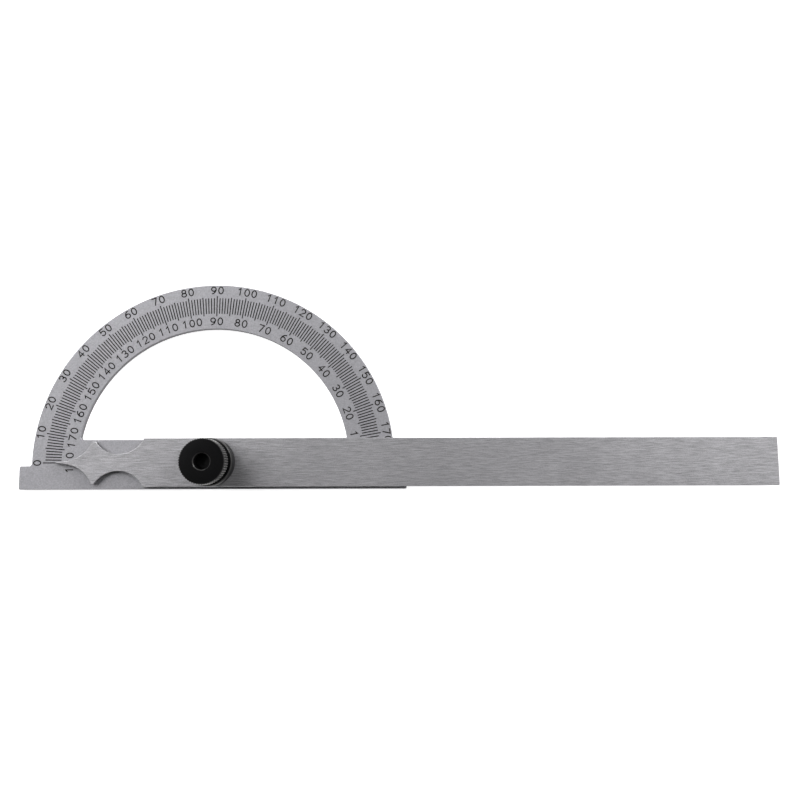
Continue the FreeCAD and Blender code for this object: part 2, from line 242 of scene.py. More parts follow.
def new_material(name: str) -> tuple[Material, Sheet, Node]:
    """Start a material and return it with its sheet and its shader."""
    material = bpy.data.materials.new(name)
    material.use_nodes = True
    return material, Sheet(material.node_tree), material.node_tree.nodes["Principled BSDF"]


class FinishGroups:
    """The shader groups that the finishes share, each built once."""

    layers_per_metre: float = 900.0
    broad_stretch: Triple = (0.7, 0.32, 0.32)
    speckle_scale: float = 0.26
    brushed_shares: Triple = (0.42, 0.32, 0.26)
    brushed_span: Span = (0.405, 0.595)
    grain_span: Span = (0.3, 0.7)
    bevel_starts: Span = (0.25, 0.45)
    bevel_ends: Span = (0.85, 0.97)
    side_ends: Span = (0.1, 0.3)
    rubbed_span: Span = (0.3, 0.65)
    rubbed_least: float = 0.25

    def __init__(self) -> None:
        """Build the groups."""
        self.marks = {
            Lay.ALONG: self.brushed_lines(),
            Lay.ROUND: self.turned_rings(),
            Lay.EVEN: self.blasted_grain(),
        }
        # Bevel and side masks: rubbed metal on some finishes, painted shade on others.
        self.wear = self.worn_edges()
        self.crests = self.worn_crests()
        # The bore's mask, where the finish paints shade.
        self.bore = self.oily_bore()

    def brushed_lines(self) -> NodeTree:
        """Build fine and broad lines that run along X, with speckle in them and soft patches."""
        sheet, given, made = new_group("brushed_lines", MARK_INPUTS, "Marks", "Patches")
        place = sheet.place()
        x, y, z = sheet.parts(place)
        along = sheet.maths("DIVIDE", x, given["Line Length"])
        across = sheet.times(y, given["Lines per Metre"])
        fine_place = sheet.joined(along, across, sheet.times(z, self.layers_per_metre))
        fine = sheet.noise(fine_place, scale=1.0, detail=3.0, roughness=0.6)
        stretched = sheet.add("ShaderNodeVectorMath", operation="MULTIPLY")
        sheet.feed(stretched.inputs[0], fine_place)
        stretched.inputs[1].default_value = self.broad_stretch
        broad = sheet.noise(stretched.outputs[0], scale=1.0, detail=3.0, roughness=0.65)
        speckle_size = sheet.times(given["Lines per Metre"], self.speckle_scale)
        speckle = sheet.noise(place, speckle_size, detail=3.0, roughness=0.7)
        shares = zip((fine, broad, speckle), self.brushed_shares)
        parts = [sheet.times(pattern, share) for pattern, share in shares]
        mixed = sheet.maths("ADD", sheet.maths("ADD", parts[0], parts[1]), parts[2])
        sheet.feed(made["Marks"], sheet.spread(mixed, *self.brushed_span))
        sheet.feed(made["Patches"], sheet.noise(place, scale=38.0, detail=2.0))
        return sheet.tree

    def turned_rings(self) -> NodeTree:
        """Build fine rings about the Z axis, as a lathe tool leaves them."""
        sheet, given, made = new_group("turned_rings", MARK_INPUTS, "Marks", "Patches")
        place = sheet.place()
        x, y, z = sheet.parts(place)
        radius = sheet.radius(x, y)
        round_the_axis = sheet.times(radius, sheet.maths("ARCTAN2", y, x))
        along = sheet.maths("DIVIDE", round_the_axis, given["Line Length"])
        outwards = sheet.times(radius, given["Lines per Metre"])
        upwards = sheet.times(z, given["Lines per Metre"])
        ring_place = sheet.joined(along, outwards, upwards)
        rings = sheet.noise(ring_place, scale=1.0, detail=2.0, roughness=0.55)
        sheet.feed(made["Marks"], sheet.spread(rings, *self.grain_span))
        sheet.feed(made["Patches"], sheet.noise(place, scale=160.0, detail=3.0))
        return sheet.tree

    def blasted_grain(self) -> NodeTree:
        """Build a fine even grain, as blasting leaves it, with soft patches."""
        sheet, given, made = new_group("blasted_grain", MARK_INPUTS, "Marks", "Patches")
        place = sheet.place()
        grain = sheet.noise(place, given["Lines per Metre"], detail=3.0, roughness=0.7)
        sheet.feed(made["Marks"], sheet.spread(grain, *self.grain_span))
        sheet.feed(made["Patches"], sheet.noise(place, scale=45.0, detail=3.0))
        return sheet.tree

    def worn_edges(self) -> NodeTree:
        """Build a mask of the bevels beside a flat face, and one of the upright sides: finishes that
        lighten them show rubbed metal, those that darken them paint shade.
        """
        sheet, given, made = new_group("worn_edges", {"Raggedness": 0.3}, "Wear", "Side")
        normal = sheet.add("ShaderNodeNewGeometry").outputs["True Normal"]
        flatness = sheet.maths("ABSOLUTE", sheet.parts(normal)[2])
        rising = sheet.spread(flatness, *self.bevel_starts)
        falling = sheet.spread(flatness, *self.bevel_ends, 1.0, 0.0)
        grain = sheet.noise(sheet.place(), scale=900.0, detail=2.0)
        ragged = sheet.times(grain, given["Raggedness"])
        bevel = sheet.times(rising, falling)
        # Bevel mask: painted shade on the plate and the blade, rubbed metal on the other pieces.
        sheet.feed(made["Wear"], sheet.maths("SUBTRACT", bevel, ragged, clamp=True))
        # Side mask: where a finish darkens the upright sides, it paints shade.
        sheet.feed(made["Side"], sheet.spread(flatness, *self.side_ends, 1.0, 0.0))
        return sheet.tree

    def worn_crests(self) -> NodeTree:
        """Build a mask of what stands far out from the Z axis, within a band of heights."""
        names = {"Crest Radius": 0.009, "Depth": 0.0001, "Band Low": 0.0, "Band High": 1.0}
        sheet, given, made = new_group("worn_crests", names, "Wear")
        place = sheet.place()
        x, y, z = sheet.parts(place)
        short = sheet.maths("SUBTRACT", given["Crest Radius"], sheet.radius(x, y))
        fall = sheet.maths("DIVIDE", short, given["Depth"])
        near = sheet.maths("SUBTRACT", 1.0, fall, clamp=True)
        above = sheet.maths("GREATER_THAN", z, given["Band Low"])
        below = sheet.maths("LESS_THAN", z, given["Band High"])
        crest = sheet.times(near, sheet.times(above, below))
        grain = sheet.noise(place, scale=700.0, detail=3.0, roughness=0.6)
        rubbed = sheet.spread(grain, *self.rubbed_span, self.rubbed_least, 1.0)
        sheet.feed(made["Wear"], sheet.times(crest, rubbed))
        return sheet.tree

    def oily_bore(self) -> NodeTree:
        """Build a mask of what lies inside a bore about the Z axis, below its mouth, where shade is
        painted.
        """
        names = {"Bore Radius": 0.0036, "Mouth Height": 0.02}
        sheet, given, made = new_group("oily_bore", names, "Inside")
        x, y, z = sheet.parts(sheet.place())
        near = sheet.maths("LESS_THAN", sheet.radius(x, y), given["Bore Radius"])
        below = sheet.maths("LESS_THAN", z, given["Mouth Height"])
        sheet.feed(made["Inside"], sheet.times(near, below))
        return sheet.tree


@dataclass(frozen=True)
class MetalFinish:
    """A metal surface: its colours, its fine marks, how its edges are rubbed bare and where shade is
    painted on it.

    The crests and the bore are the values of the groups for worn crests and for the bore's painted
    shade, by input name.
    """

    name: str
    colour: Colour
    mark_colour: Colour
    # Colour of the bevels and crests: rubbed metal where it is lighter, painted shade where it is
    # darker than the colour.
    edge_colour: Colour
    lay: Lay
    lines_per_metre: float
    metallic: float
    roughness: Span
    bump: float
    # How strongly the bevels take that colour.
    wear: float
    line_length: float = 10.0 * MM
    specular: float = 0.5
    # Colour of the upright sides: painted shade.
    cut_colour: Colour | None = None
    crests: dict[str, float] | None = None
    ground_below: float | None = None
    bore: dict[str, float] | None = None
    patch_span: Span = (0.35, 0.65)
    patch_share: float = 0.18
    bare_metallic: float = 0.9
    mark_depth: float = 0.02 * MM

    def worn(self, sheet: Sheet, groups: FinishGroups, edges: Any) -> NodeSocket:
        """Build the mask of rubbed and ground metal, and of bevels with painted shade.

        Args:
            sheet: the material's nodes.
            groups: the shared shader groups.
            edges: the outputs of the group of rubbed and shaded edges.

        Returns:
            The mask, the strongest of all the rubbing and painted shade that the finish has.
        """
        # On the plate and the blade, whose bevel colour is darker, this paints shade on the bevels.
        worn = sheet.times(edges["Wear"], self.wear)
        if self.crests:
            crests = sheet.group(groups.crests, self.crests)
            worn = sheet.maths("MAXIMUM", worn, crests["Wear"])
        if self.ground_below is not None:
            height = sheet.parts(sheet.place())[2]
            worn = sheet.maths("MAXIMUM", worn, sheet.maths("LESS_THAN", height, self.ground_below))
        return worn

    def build(self, groups: FinishGroups) -> Material:
        """Build the finish as a material.

        Args:
            groups: the shared shader groups.

        Returns:
            The material, with its marks in colour, roughness and bump.
        """
        material, sheet, shader = new_material(self.name)
        lines = {"Lines per Metre": self.lines_per_metre, "Line Length": self.line_length}
        marks = sheet.group(groups.marks[self.lay], lines)
        edges = sheet.group(groups.wear, {})
        lined = sheet.blend(marks["Marks"], self.mark_colour, self.colour)
        patchy = sheet.spread(marks["Patches"], *self.patch_span, 0.0, self.patch_share)
        toned = sheet.blend(patchy, lined, self.mark_colour)
        worn = self.worn(sheet, groups, edges)
        # Bevel colour: painted shade on the plate and the blade, rubbed metal on the other pieces.
        surface = sheet.blend(worn, toned, self.edge_colour)
        # Painted shade: the upright sides are darkened towards their colour.
        if self.cut_colour:
            surface = sheet.blend(edges["Side"], surface, self.cut_colour)
        smooth, rough = self.roughness
        gloss = sheet.spread(marks["Marks"], 0.0, 1.0, rough, smooth)
        # Painted shade: inside the bore the colour turns to the mark colour and the surface turns
        # rough.
        if self.bore:
            bore = sheet.group(groups.bore, self.bore)
            surface = sheet.blend(bore["Inside"], surface, self.mark_colour)
            gloss = sheet.maths("MAXIMUM", gloss, bore["Inside"])
        sheet.feed(shader.inputs["Base Color"], surface)
        sheet.feed(shader.inputs["Roughness"], gloss)
        shader.inputs["Specular IOR Level"].default_value = self.specular
        if self.crests or self.ground_below is not None:
            metallic = sheet.spread(worn, 0.0, 1.0, self.metallic, self.bare_metallic)
            sheet.feed(shader.inputs["Metallic"], metallic)
        else:
            shader.inputs["Metallic"].default_value = self.metallic
        bump = sheet.add("ShaderNodeBump")
        bump.inputs["Strength"].default_value = self.bump
        bump.inputs["Distance"].default_value = self.mark_depth
        sheet.feed(bump.inputs["Height"], marks["Marks"])
        sheet.feed(shader.inputs["Normal"], bump.outputs["Normal"])
        return material


@dataclass(frozen=True)
class InkFinish:
    """The dark etched colour of the scale's lines and numbers."""

    name: str
    colour: Colour
    faded: Colour
    speckle_fade: Ramp = (0.4, 0.75, 0.0, 0.5)
    drift_fade: Ramp = (0.4, 0.7, 0.0, 0.4)
    roughness: Ramp = (0.2, 0.8, 0.55, 0.8)
    specular: float = 0.2

    def build(self) -> Material:
        """Build the ink as a material, a little uneven where the metal shows through."""
        material, sheet, shader = new_material(self.name)
        place = sheet.place()
        speckle = sheet.noise(place, scale=5200.0, detail=2.0, roughness=0.6)
        drift = sheet.noise(place, scale=120.0, detail=2.0)
        speckled = sheet.spread(speckle, *self.speckle_fade)
        uneven = sheet.maths("ADD", speckled, sheet.spread(drift, *self.drift_fade))
        sheet.feed(shader.inputs["Base Color"], sheet.blend(uneven, self.colour, self.faded))
        sheet.feed(shader.inputs["Roughness"], sheet.spread(speckle, *self.roughness))
        shader.inputs["Specular IOR Level"].default_value = self.specular
        return material


PLATE_STEEL = MetalFinish(
    name="plate_satin_steel",
    colour=(0.52, 0.515, 0.545),
    mark_colour=(0.35, 0.346, 0.367),
    # The darker bevel colour is painted shade.
    edge_colour=(0.34, 0.34, 0.35),
    lay=Lay.EVEN,
    lines_per_metre=1700.0,
    metallic=0.6,
    roughness=(0.50, 0.62),
    bump=0.35,
    wear=0.5,
    # The darker upright sides are painted shade.
    cut_colour=(0.15, 0.148, 0.155),
)
BLADE_STEEL = MetalFinish(
    name="blade_brushed_steel",
    colour=(0.73, 0.722, 0.75),
    mark_colour=(0.30, 0.296, 0.31),
    # The darker bevel colour is painted shade.
    edge_colour=(0.3, 0.3, 0.31),
    lay=Lay.ALONG,
    lines_per_metre=8600.0,
    line_length=4.0 * MM,
    metallic=0.75,
    roughness=(0.42, 0.54),
    bump=0.25,
    wear=0.4,
    # The darker upright sides are painted shade.
    cut_colour=(0.2, 0.198, 0.205),
)
STUD_STEEL = MetalFinish(
    name="stud_near_black_steel",
    # Near black all over, which is what makes the stud's end read dark down the nut's bore.
    colour=(0.02, 0.02, 0.021),
    mark_colour=(0.012, 0.012, 0.013),
    edge_colour=(0.42, 0.42, 0.43),
    lay=Lay.ROUND,
    lines_per_metre=5200.0,
    metallic=0.2,
    roughness=(0.3, 0.42),
    bump=0.4,
    wear=0.05,
    specular=0.25,
    ground_below=0.05 * MM,
)
WASHER_STEEL = MetalFinish(
    name="washer_stamped_steel",
    colour=(0.46, 0.46, 0.47),
    mark_colour=(0.36, 0.36, 0.37),
    edge_colour=(0.55, 0.55, 0.56),
    lay=Lay.EVEN,
    lines_per_metre=3600.0,
    metallic=0.95,
    roughness=(0.33, 0.45),
    bump=0.3,
    wear=0.5,
)
NUT_BLACK = MetalFinish(
    name="nut_black_oxide",
    colour=(0.005, 0.005, 0.0055),
    mark_colour=(0.003, 0.003, 0.0033),
    edge_colour=(0.30, 0.295, 0.29),
    lay=Lay.ROUND,
    lines_per_metre=3800.0,
    line_length=12.0 * MM,
    metallic=0.0,
    roughness=(0.3, 0.44),
    bump=0.5,
    wear=0.2,
    specular=0.13,
    crests={
        "Crest Radius": 9.2 * MM,
        "Depth": 0.25 * MM,
        "Band Low": 15.0 * MM,
        "Band High": 20.6 * MM,
    },
    # The tapped bore below its mouth gets painted shade.
    bore={"Bore Radius": 3.6 * MM, "Mouth Height": 20.4 * MM},
)
SCALE_INK = InkFinish(
    name="scale_ink",
    colour=(0.014, 0.012, 0.011),
    faded=(0.045, 0.041, 0.038),
)


# Meshes


def new_piece(name: str, verts: list[Any], faces: list[Any], smooth: bool = False) -> Object:
    """Make a mesh object at the origin.

    Args:
        name: the piece's name.
        verts: its points, in metres in the part's frame.
        faces: its faces, as lists of point numbers.
        smooth: whether its faces shade smoothly.

    Returns:
        The linked object.
    """
    mesh = bpy.data.meshes.new(name)
    mesh.from_pydata(verts, [], faces)
    mesh.update()
    if smooth:
        mesh.shade_smooth()
    else:
        mesh.shade_flat()
    piece = bpy.data.objects.new(name, mesh)
    bpy.context.scene.collection.objects.link(piece)
    return piece


def give_material(piece: Object, material: Material) -> None:
    """Make a material the only one on a piece."""
    piece.data.materials.clear()
    piece.data.materials.append(material)


def apply_tree(piece: Object, tree: NodeTree, values: dict[str, Any]) -> None:
    """Run a Geometry Nodes tree on a piece and keep the result as its plain mesh.

    Args:
        piece: the object whose mesh is worked on and replaced.
        tree: the tree.
        values: the tree's named inputs.
    """
    modifier = piece.modifiers.new(tree.name, "NODES")
    modifier.node_group = tree
    for item in tree.interface.items_tree:
        if item.in_out == "INPUT" and item.name in values:
            modifier[item.identifier] = values[item.name]
    graph = bpy.context.evaluated_depsgraph_get()
    made = bpy.data.meshes.new_from_object(piece.evaluated_get(graph), depsgraph=graph)
    piece.modifiers.remove(modifier)
    made.name = piece.name
    piece.data = made


def new_tree(name: str, inputs: dict[str, tuple[str, Any]]) -> tuple[Sheet, Any, Any]:
    """Start a Geometry Nodes tree with a geometry going in and coming out."""
    sockets = {"Geometry": ("Geometry", None)} | inputs
    return new_sheet("GeometryNodeTree", name, sockets, {"Geometry": "Geometry"})


def end_tree(sheet: Sheet, given: Any, made: Any, geometry: Any) -> NodeTree:
    """End a Geometry Nodes tree as a real mesh in its given material, and return the tree."""
    real = sheet.add("GeometryNodeRealizeInstances")
    sheet.feed(real.inputs[0], geometry)
    dressed = sheet.add("GeometryNodeSetMaterial")
    sheet.feed(dressed.inputs["Geometry"], real.outputs[0])
    sheet.feed(dressed.inputs["Material"], given["Material"])
    sheet.feed(made["Geometry"], dressed.outputs[0])
    return sheet.tree


# Scale of the head plate


@dataclass
class ScaleLines:
    """The degree lines of the half circle, one thin inlay each."""

    plate_top: float
    count: int = HALF_TURN + 1
    width: float = 0.45 * MM
    proud: float = 0.012 * MM
    sunk: float = 0.03 * MM
    single: Point = (62.7 * MM, 69.4 * MM)
    five: Point = (61.85 * MM, 69.85 * MM)
    ten: Point = (61.55 * MM, 70.35 * MM)

    def tree(self) -> NodeTree:
        """Build the tree that sets one bar at each degree, longer at every fifth and tenth."""
        inputs = {"Count": ("Int", self.count), "Width": ("Float", self.width)}
        inputs["Thickness"] = ("Float", self.proud + self.sunk)
        inputs["Height"] = ("Float", self.plate_top)
        for label, (low, high) in (("Single", self.single), ("Five", self.five), ("Ten", self.ten)):
            inputs[f"{label} Inner"] = ("Float", low)
            inputs[f"{label} Outer"] = ("Float", high)
        inputs["Material"] = ("Material", None)
        sheet, given, made = new_tree("scale_lines", inputs)
        degree = sheet.add("GeometryNodeInputIndex").outputs[0]
        ends = []
        for end in ("Inner", "Outer"):
            reach = given[f"Single {end}"]
            for step, label in ((5.0, "Five"), (10.0, "Ten")):
                rest = sheet.maths("FLOORED_MODULO", degree, step)
                choice = sheet.add("GeometryNodeSwitch", input_type="FLOAT")
                sheet.feed(choice.inputs["Switch"], sheet.maths("LESS_THAN", rest, 0.5))
                sheet.feed(choice.inputs["False"], reach)
                sheet.feed(choice.inputs["True"], given[f"{label} {end}"])
                reach = choice.outputs[0]
            ends.append(reach)
        middle = sheet.times(sheet.maths("ADD", *ends), 0.5)
        length = sheet.maths("SUBTRACT", ends[1], ends[0])
        angle = sheet.maths("RADIANS", sheet.maths("SUBTRACT", float(HALF_TURN), degree))
        x = sheet.times(middle, sheet.maths("COSINE", angle))
        y = sheet.times(middle, sheet.maths("SINE", angle))
        points = sheet.add("GeometryNodePoints")
        sheet.feed(points.inputs["Count"], given["Count"])
        sheet.feed(points.inputs["Position"], sheet.joined(x, y, given["Height"]))
        bar = sheet.add("GeometryNodeMeshCube")
        bar.inputs["Size"].default_value = (1.0, 1.0, 1.0)
        size = sheet.joined(length, given["Width"], given["Thickness"])
        copies = sheet.add("GeometryNodeInstanceOnPoints")
        sheet.feed(copies.inputs["Points"], points.outputs[0])
        sheet.feed(copies.inputs["Instance"], bar.outputs["Mesh"])
        sheet.feed(copies.inputs["Rotation"], sheet.joined(0.0, 0.0, angle))
        sheet.feed(copies.inputs["Scale"], size)
        return end_tree(sheet, given, made, copies.outputs[0])

    def build(self, ink: Material) -> Object:
        """Build all the lines as one piece.

        Args:
            ink: the lines' material.

        Returns:
            The piece, standing a hair proud of the plate.
        """
        piece = new_piece("scale_lines", [], [])
        centre = self.plate_top + (self.proud - self.sunk) / 2
        apply_tree(piece, self.tree(), {"Height": centre, "Material": ink})
        return piece


class Stroke:
    """One stroke of a figure: points on a centreline, open or closed."""

    def __init__(self, start: Point | None = None) -> None:
        """Start a stroke, at a point if one is given."""
        self.points: list[Point] = [start] if start else []
        self.closed = False

    def to(self, *points: Point) -> "Stroke":
        """Go straight to each point in turn."""
        self.points.extend(points)
        return self

    def arc(self, centre: Point, radii: Point, start: float, end: float) -> "Stroke":
        """Go round an oval arc, in degrees, anticlockwise if the end is the larger."""
        steps = max(3, round(abs(end - start) / ARC_STEP_DEGREES))
        for step in range(steps + 1):
            angle = math.radians(start + (end - start) * step / steps)
            x = centre[0] + radii[0] * math.cos(angle)
            y = centre[1] + radii[1] * math.sin(angle)
            self.points.append((x, y))
        return self

    def oval(self, centre: Point, radii: Point) -> "Stroke":
        """Go once round a whole oval."""
        self.arc(centre, radii, 0.0, 360.0 - ARC_STEP_DEGREES)
        self.closed = True
        return self

    def turned(self) -> "Stroke":
        """Return the stroke turned by half a turn about the middle of its cell."""
        copy = Stroke()
        copy.points = [(-x, 1.0 - y) for x, y in self.points]
        copy.closed = self.closed
        return copy


def figure_strokes() -> dict[str, list[Stroke]]:
    """Draw the ten figures in a cell from -0.5 to 0.5 across and 0 to 1 up."""
    five = Stroke((0.42, 1.0)).to((-0.34, 1.0), (-0.42, 0.56))
    six = [
        Stroke().oval((0.0, 0.31), (0.5, 0.31)),
        Stroke().arc((0.42, 0.31), (0.92, 0.69), 180.0, 97.0),
    ]
    return {
        "0": [Stroke().oval((0.0, 0.5), (0.5, 0.5))],
        "1": [Stroke((-0.3, 0.76)).to((0.08, 1.0), (0.08, 0.0))],
        "2": [Stroke().arc((0.0, 0.71), (0.48, 0.29), 165.0, -32.0).to((-0.5, 0.0), (0.5, 0.0))],
        "3": [
            Stroke().arc((0.0, 0.745), (0.44, 0.255), 150.0, -90.0),
            Stroke().arc((0.0, 0.265), (0.5, 0.265), 70.0, -150.0),
        ],
        "4": [Stroke((0.2, 0.0)).to((0.2, 1.0), (-0.5, 0.3), (0.5, 0.3))],
        "5": [five.arc((0.0, 0.33), (0.5, 0.33), 128.0, -150.0)],
        "6": six,
        "7": [Stroke((-0.5, 1.0)).to((0.5, 1.0), (-0.14, 0.0))],
        "8": [Stroke().oval((0.0, 0.76), (0.41, 0.24)), Stroke().oval((0.0, 0.26), (0.5, 0.26))],
        "9": [stroke.turned() for stroke in six],
    }


@dataclass
class ScaleNumbers:
    """The two rows of numbers at every tenth degree line."""

    plate_top: float
    baselines: dict[Row, float] = field(
        default_factory=lambda: {Row.OUTER: 71.3 * MM, Row.INNER: 57.95 * MM}
    )
    step: int = 10
    figure_width: float = 1.9 * MM
    figure_height: float = 2.9 * MM
    pitch: float = 3.05 * MM
    line_width: float = 0.5 * MM
    proud: float = 0.012 * MM
    sunk: float = 0.03 * MM
    cap_steps: int = 5
    least_mitre: float = 0.5

    def ribbon(self, stroke: Stroke) -> tuple[list[Point], list[list[int]]]:
        """Give a stroke its width.

        Args:
            stroke: the centreline, in metres.

        Returns:
            The flat outline's points, and loops of their numbers: one loop round an
            open stroke, or the outer and inner loops of a closed one.
        """
        path = [Vector(point) for point in stroke.points]
        last = len(path) - 1
        half = self.line_width / 2
        left, right = [], []
        for place, here in enumerate(path):
            before = path[place - 1] if place or stroke.closed else None
            after = path[(place + 1) % len(path)] if place < last or stroke.closed else None
            into = (here - before).normalized() if before else (after - here).normalized()
            out = (after - here).normalized() if after else into
            mean = (into + out).normalized()
            side = Vector((-mean.y, mean.x)) * half / max(self.least_mitre, mean.dot(into))
            left.append(here + side)
            right.append(here - side)
        if stroke.closed:
            points = left + right
            loops = [list(range(len(left))), list(range(len(left), len(points)))]
            return [tuple(point) for point in points], loops
        ends = self.cap(path[last], path[last] - path[last - 1]), self.cap(path[0], path[0] - path[1])
        middle = len(ends[1]) // 2
        points = ends[1][middle:] + right + ends[0] + left[::-1] + ends[1][:middle]
        return [tuple(point) for point in points], [list(range(len(points)))]

    def cap(self, tip: Vector, heading: Vector) -> list[Vector]:
        """Return the points of a round end, from its right side to its left."""
        start = math.atan2(heading.y, heading.x) - math.pi / 2
        steps = [start + math.pi * step / self.cap_steps for step in range(1, self.cap_steps)]
        return [tip + Vector((math.cos(step), math.sin(step))) * self.line_width / 2 for step in steps]

    def inlay(self, stroke: Stroke, verts: list[Any], faces: list[Any]) -> None:
        """Add a stroke's closed inlay to a mesh.

        Args:
            stroke: the centreline, placed on the plate, in metres.
            verts: the mesh's points so far.
            faces: the mesh's faces so far.
        """
        outline, loops = self.ribbon(stroke)
        first = len(verts)
        count = len(outline)
        for level in (self.plate_top - self.sunk, self.plate_top + self.proud):
            verts.extend((x, y, level) for x, y in outline)
        top = first + count
        for loop in loops:
            for here, there in zip(loop, loop[1:] + loop[:1]):
                faces.append([first + here, first + there, top + there, top + here])
        if stroke.closed:
            outer, inner = loops
            for a, b, c, d in zip(outer, outer[1:] + outer[:1], inner, inner[1:] + inner[:1]):
                faces.append([top + a, top + b, top + d, top + c])
                faces.append([first + a, first + c, first + d, first + b])
        else:
            half = count // 2
            for step in range(half - 1):
                pair = [step, step + 1, count - 2 - step, count - 1 - step]
                faces.append([top + number for number in pair])
                faces.append([first + number for number in reversed(pair)])

    def build(self, ink: Material) -> Object:
        """Build both rows of numbers as one piece.

        Args:
            ink: the numbers' material.

        Returns:
            The piece, standing a hair proud of the plate.
        """
        figures = figure_strokes()
        verts: list[Any] = []
        faces: list[Any] = []
        for row, baseline in self.baselines.items():
            for degree in range(0, HALF_TURN + 1, self.step):
                number = str(degree if row is Row.OUTER else HALF_TURN - degree)
                turn = math.radians(HALF_TURN / 2 - degree)
                across = Vector((math.cos(turn), math.sin(turn)))
                up = Vector((-across.y, across.x))
                for place, figure in enumerate(number):
                    shift = (place - (len(number) - 1) / 2) * self.pitch
                    for stroke in figures[figure]:
                        placed = Stroke()
                        placed.closed = stroke.closed
                        for x, y in stroke.points:
                            spot = across * (x * self.figure_width + shift)
                            spot += up * (y * self.figure_height + baseline)
                            placed.points.append((spot.x, spot.y))
                        self.inlay(placed, verts, faces)
        piece = new_piece("scale_numbers", verts, faces)
        tidy_normals(piece)
        give_material(piece, ink)
        return piece


def tidy_normals(piece: Object) -> None:
    """Turn every face of a piece outwards."""
    work = bmesh.new()
    work.from_mesh(piece.data)
    bmesh.ops.recalc_face_normals(work, faces=work.faces)
    work.to_mesh(piece.data)
    work.free()


# Turned pieces


@dataclass(frozen=True)
class ScrewThread:
    """The right-hand thread that the stud and the nut share."""

    pitch: float = 0.75 * MM
    crest_radius: float = 3.47 * MM
    root_radius: float = 3.04 * MM
    clearance: float = 0.055 * MM
    crest_share: float = 0.125
    root_share: float = 0.25
    rows_per_pitch: int = 8

    def radius(self, angle: np.ndarray, height: float) -> np.ndarray:
        """Return the stud's radius at some angles, at one height, in metres."""
        phase = np.mod(height / self.pitch - angle / (2 * math.pi), 1.0)
        from_crest = np.abs(phase - 0.5) * 2
        flank = (from_crest - self.crest_share) / (1 - self.crest_share - self.root_share)
        return self.crest_radius + (self.root_radius - self.crest_radius) * np.clip(flank, 0.0, 1.0)

    def heights(self, low: float, high: float) -> list[float]:
        """Return the heights of the rows that draw the thread between two heights."""
        step = self.pitch / self.rows_per_pitch
        first = math.ceil(low / step + 0.5)
        last = math.floor(high / step - 0.5)
        return [low] + [number * step for number in range(first, last + 1)] + [high]


Ring = tuple[Any, float]


def ring_angles(columns: int) -> np.ndarray:
    """Return the angles of a ring's points, evenly round the Z axis."""
    return np.arange(columns) * 2 * math.pi / columns


def turned_piece(name: str, rings: list[Ring], columns: int, hollow: bool) -> Object:
    """Make a closed turned piece about the Z axis.

    Args:
        name: the piece's name.
        rings: each ring's radius, or radii by column, and its height. They run from the
            bottom outwards and up, and in a hollow piece down again through its bore.
        columns: how many points each ring has.
        hollow: whether the last ring joins the first, or both are closed by a point.

    Returns:
        The linked object.
    """
    angles = ring_angles(columns)
    cosines, sines = np.cos(angles), np.sin(angles)
    blocks = []
    for radius, height in rings:
        size = np.broadcast_to(radius, angles.shape)
        blocks.append(np.stack([size * cosines, size * sines, np.full(columns, height)], 1))
    verts = np.concatenate(blocks).tolist()
    faces = []
    pairs = list(zip(range(len(rings)), range(1, len(rings))))
    if hollow:
        pairs.append((len(rings) - 1, 0))
    for low, high in pairs:
        for column in range(columns):
            beside = (column + 1) % columns
            a, b = low * columns + column, low * columns + beside
            faces.append([a, b, high * columns + beside, high * columns + column])
    if not hollow:
        for ring, order in ((0, -1), (len(rings) - 1, 1)):
            centre = len(verts)
            verts.append([0.0, 0.0, rings[ring][1]])
            for column in range(columns):
                pair = [ring * columns + column, ring * columns + (column + 1) % columns]
                faces.append(pair[::order] + [centre])
    return new_piece(name, verts, faces, smooth=True)


def eased(
    corners: list[Point], rounding: float, steps: int = 3, most: float = 0.45
) -> list[Ring]:
    """Round each inner corner of a turned profile.

    Args:
        corners: the profile's corners, as radius and height. The first and last stay.
        rounding: how far from a corner its round starts, at most.
        steps: how many edges each round has.
        most: the share of a side that one round may take.

    Returns:
        The profile's rings.
    """
    rings: list[Ring] = [corners[0]]
    for before, corner, after in zip(corners, corners[1:], corners[2:]):
        here = Vector(corner)
        reach = [min(rounding, (Vector(side) - here).length * most) for side in (before, after)]
        start = here + (Vector(before) - here).normalized() * reach[0]
        end = here + (Vector(after) - here).normalized() * reach[1]
        for step in range(steps + 1):
            share = step / steps
            spot = start * (1 - share) ** 2 + here * 2 * share * (1 - share) + end * share**2
            rings.append((spot.x, spot.y))
    rings.append(corners[-1])
    return rings


def crease_sharp(piece: Object) -> None:
    """Keep a smoothly shaded piece's sharper edges crisp."""
    piece.data.set_sharp_from_angle(angle=math.radians(CREASE_DEGREES))


